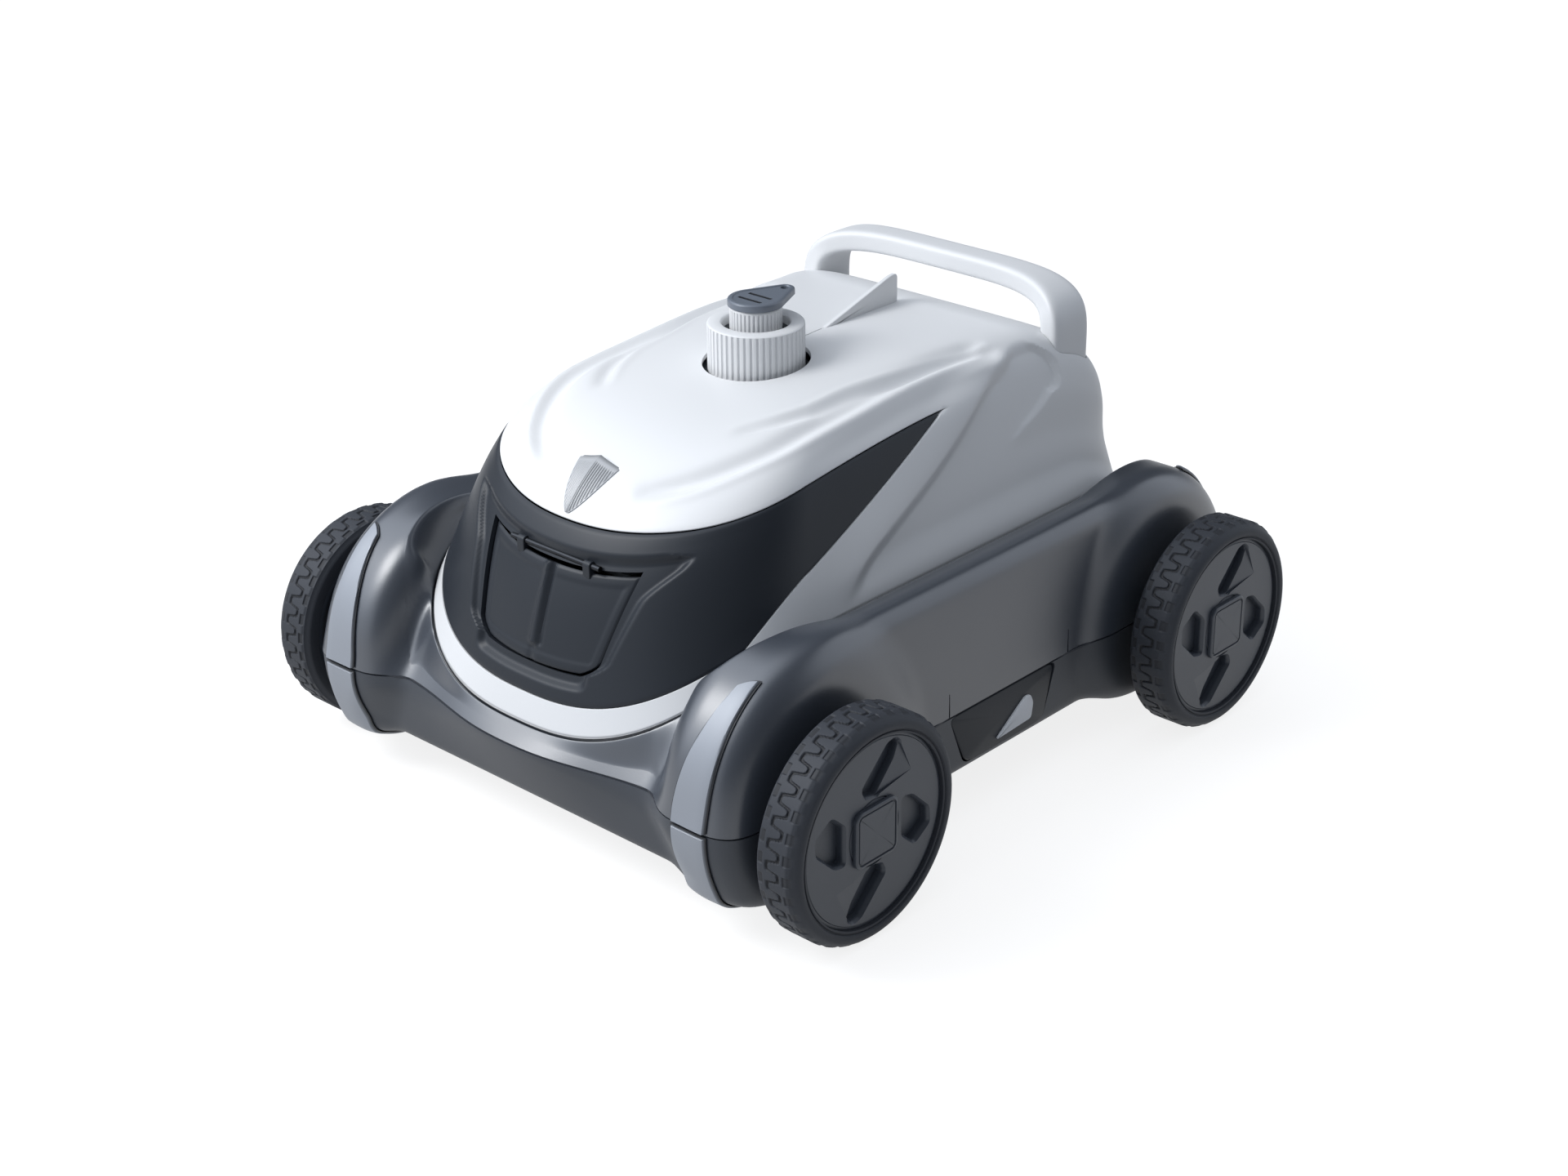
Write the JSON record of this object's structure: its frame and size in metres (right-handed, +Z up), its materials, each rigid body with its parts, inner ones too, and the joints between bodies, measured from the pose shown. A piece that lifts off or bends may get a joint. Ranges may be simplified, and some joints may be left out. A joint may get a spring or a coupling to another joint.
{
  "type": "robotic pool cleaner",
  "caption": "Cordless pool floor robot: rounded cover over a hull, arched carrying handle, jet flaps at both ends, turning deck knob and free-rolling tyred wheels.",
  "frame": {"origin": "on the floor under the centre of the cleaner, midway between the axles", "axes": "+X to the right side along the axles, +Y to the rear, where the handle is, +Z up"},
  "size_m": [0.3868, 0.4316, 0.253],
  "materials": {
    "white_plastic": "satin moulded white",
    "graphite_plastic": "satin moulded graphite",
    "lower_hull_plastic": "matte moulded dark grey",
    "upper_hull_plastic": "satin moulded blue grey",
    "black_rubber": "soft black",
    "steel": "bright stainless",
    "lens_plastic": "pale moulded lens",
    "strip_plastic": "satin light blue grey",
    "tab_plastic": "satin pale blue grey",
    "filter_plastic": "matte grey frame",
    "pump_plastic": "matte dark grey",
    "impeller_plastic": "moulded orange",
    "motor_can": "black coated can",
    "battery_wrap": "blue shrink wrap",
    "control_case": "potted green case",
    "tyre": "soft dark grey",
    "wheel_plastic": "satin dark blue grey"
  },
  "bodies": {
    "chassis": {"lower_hull": "lower_hull_plastic", "upper_hull": "upper_hull_plastic", "hull_gasket": "black_rubber", "side_shell": "white_plastic", "roof_shell": "white_plastic", "visor": "graphite_plastic", "tail_panel": "graphite_plastic", "flap_pins": "steel", "indicator_lens": "lens_plastic", "carry_handle": "white_plastic", "handle_screws": "steel", "upper_corner_strips": "strip_plastic", "lower_corner_strips": "strip_plastic", "stub_axles": "steel", "axle_washers": "steel", "axle_screws": "steel", "pump_casing": "pump_plastic", "pump_motor": "motor_can", "shaft_seal": "black_rubber", "control_mast": "graphite_plastic", "battery_pack": "battery_wrap", "control_box": "control_case", "filter_basket": "filter_plastic", "filter_lid": "filter_plastic", "intake_plate": "graphite_plastic", "intake_seat": "graphite_plastic", "hull_screws": "steel"},
    "wheel_front_right": {"tyre_front_right": "tyre", "hub_front_right": "wheel_plastic", "cap_front_right": "wheel_plastic"},
    "wheel_front_left": {"tyre_front_left": "tyre", "hub_front_left": "wheel_plastic", "cap_front_left": "wheel_plastic"},
    "wheel_rear_right": {"tyre_rear_right": "tyre", "hub_rear_right": "wheel_plastic", "cap_rear_right": "wheel_plastic"},
    "wheel_rear_left": {"tyre_rear_left": "tyre", "hub_rear_left": "wheel_plastic", "cap_rear_left": "wheel_plastic"},
    "front_flap": {"front_flap": "graphite_plastic"},
    "tail_flap": {"tail_flap": "graphite_plastic"},
    "locking_ring": {"locking_ring": "white_plastic"},
    "power_knob": {"power_knob": "white_plastic", "knob_cap": "graphite_plastic"},
    "impeller": {"impeller": "impeller_plastic"},
    "intake_valve_front": {"intake_valve_front": "black_rubber"},
    "intake_valve_rear": {"intake_valve_rear": "black_rubber"},
    "side_latch_right": {"side_latch_right": "graphite_plastic", "latch_tab_right": "tab_plastic"},
    "side_latch_left": {"side_latch_left": "graphite_plastic", "latch_tab_left": "tab_plastic"}
  },
  "joints": [
    {"name": "wheel_front_right_spin", "type": "hinge", "parent": "chassis", "child": "wheel_front_right", "pos_m": [0.18, -0.14935, 0.06], "axis": [1, 0, 0], "continuous": true},
    {"name": "wheel_front_left_spin", "type": "hinge", "parent": "chassis", "child": "wheel_front_left", "pos_m": [-0.18, -0.14935, 0.06], "axis": [1, 0, 0], "continuous": true},
    {"name": "wheel_rear_right_spin", "type": "hinge", "parent": "chassis", "child": "wheel_rear_right", "pos_m": [0.18, 0.14935, 0.06], "axis": [1, 0, 0], "continuous": true},
    {"name": "wheel_rear_left_spin", "type": "hinge", "parent": "chassis", "child": "wheel_rear_left", "pos_m": [-0.18, 0.14935, 0.06], "axis": [1, 0, 0], "continuous": true},
    {"name": "front_flap_hinge", "type": "hinge", "parent": "chassis", "child": "front_flap", "pos_m": [0, -0.1723, 0.15683], "axis": [-1, 0, 0], "range_deg": [0, 30]},
    {"name": "tail_flap_hinge", "type": "hinge", "parent": "chassis", "child": "tail_flap", "pos_m": [0, 0.18429, 0.14004], "axis": [1, 0, 0], "range_deg": [0, 45]},
    {"name": "locking_ring_turn", "type": "hinge", "parent": "chassis", "child": "locking_ring", "pos_m": [0, -0.024, 0.225], "axis": [0, 0, 1], "range_deg": [0, 60]},
    {"name": "power_knob_turn", "type": "hinge", "parent": "chassis", "child": "power_knob", "pos_m": [0, -0.024, 0.235], "axis": [0, 0, 1], "range_deg": [0, 90]},
    {"name": "impeller_spin", "type": "hinge", "parent": "chassis", "child": "impeller", "pos_m": [0, -0.024, 0.12], "axis": [0, 0, 1], "continuous": true},
    {"name": "intake_valve_front_hinge", "type": "hinge", "parent": "chassis", "child": "intake_valve_front", "pos_m": [0, -0.0285, 0.0322], "axis": [1, 0, 0], "range_deg": [0, 70]},
    {"name": "intake_valve_rear_hinge", "type": "hinge", "parent": "chassis", "child": "intake_valve_rear", "pos_m": [0, 0.0285, 0.0322], "axis": [-1, 0, 0], "range_deg": [0, 70]},
    {"name": "side_latch_right_turn", "type": "hinge", "parent": "chassis", "child": "side_latch_right", "pos_m": [0.1493, 0, 0.043], "axis": [0, 1, 0], "range_deg": [0, 17.5]},
    {"name": "side_latch_left_turn", "type": "hinge", "parent": "chassis", "child": "side_latch_left", "pos_m": [-0.1493, 0, 0.043], "axis": [0, -1, 0], "range_deg": [0, 17.5]}
  ]
}
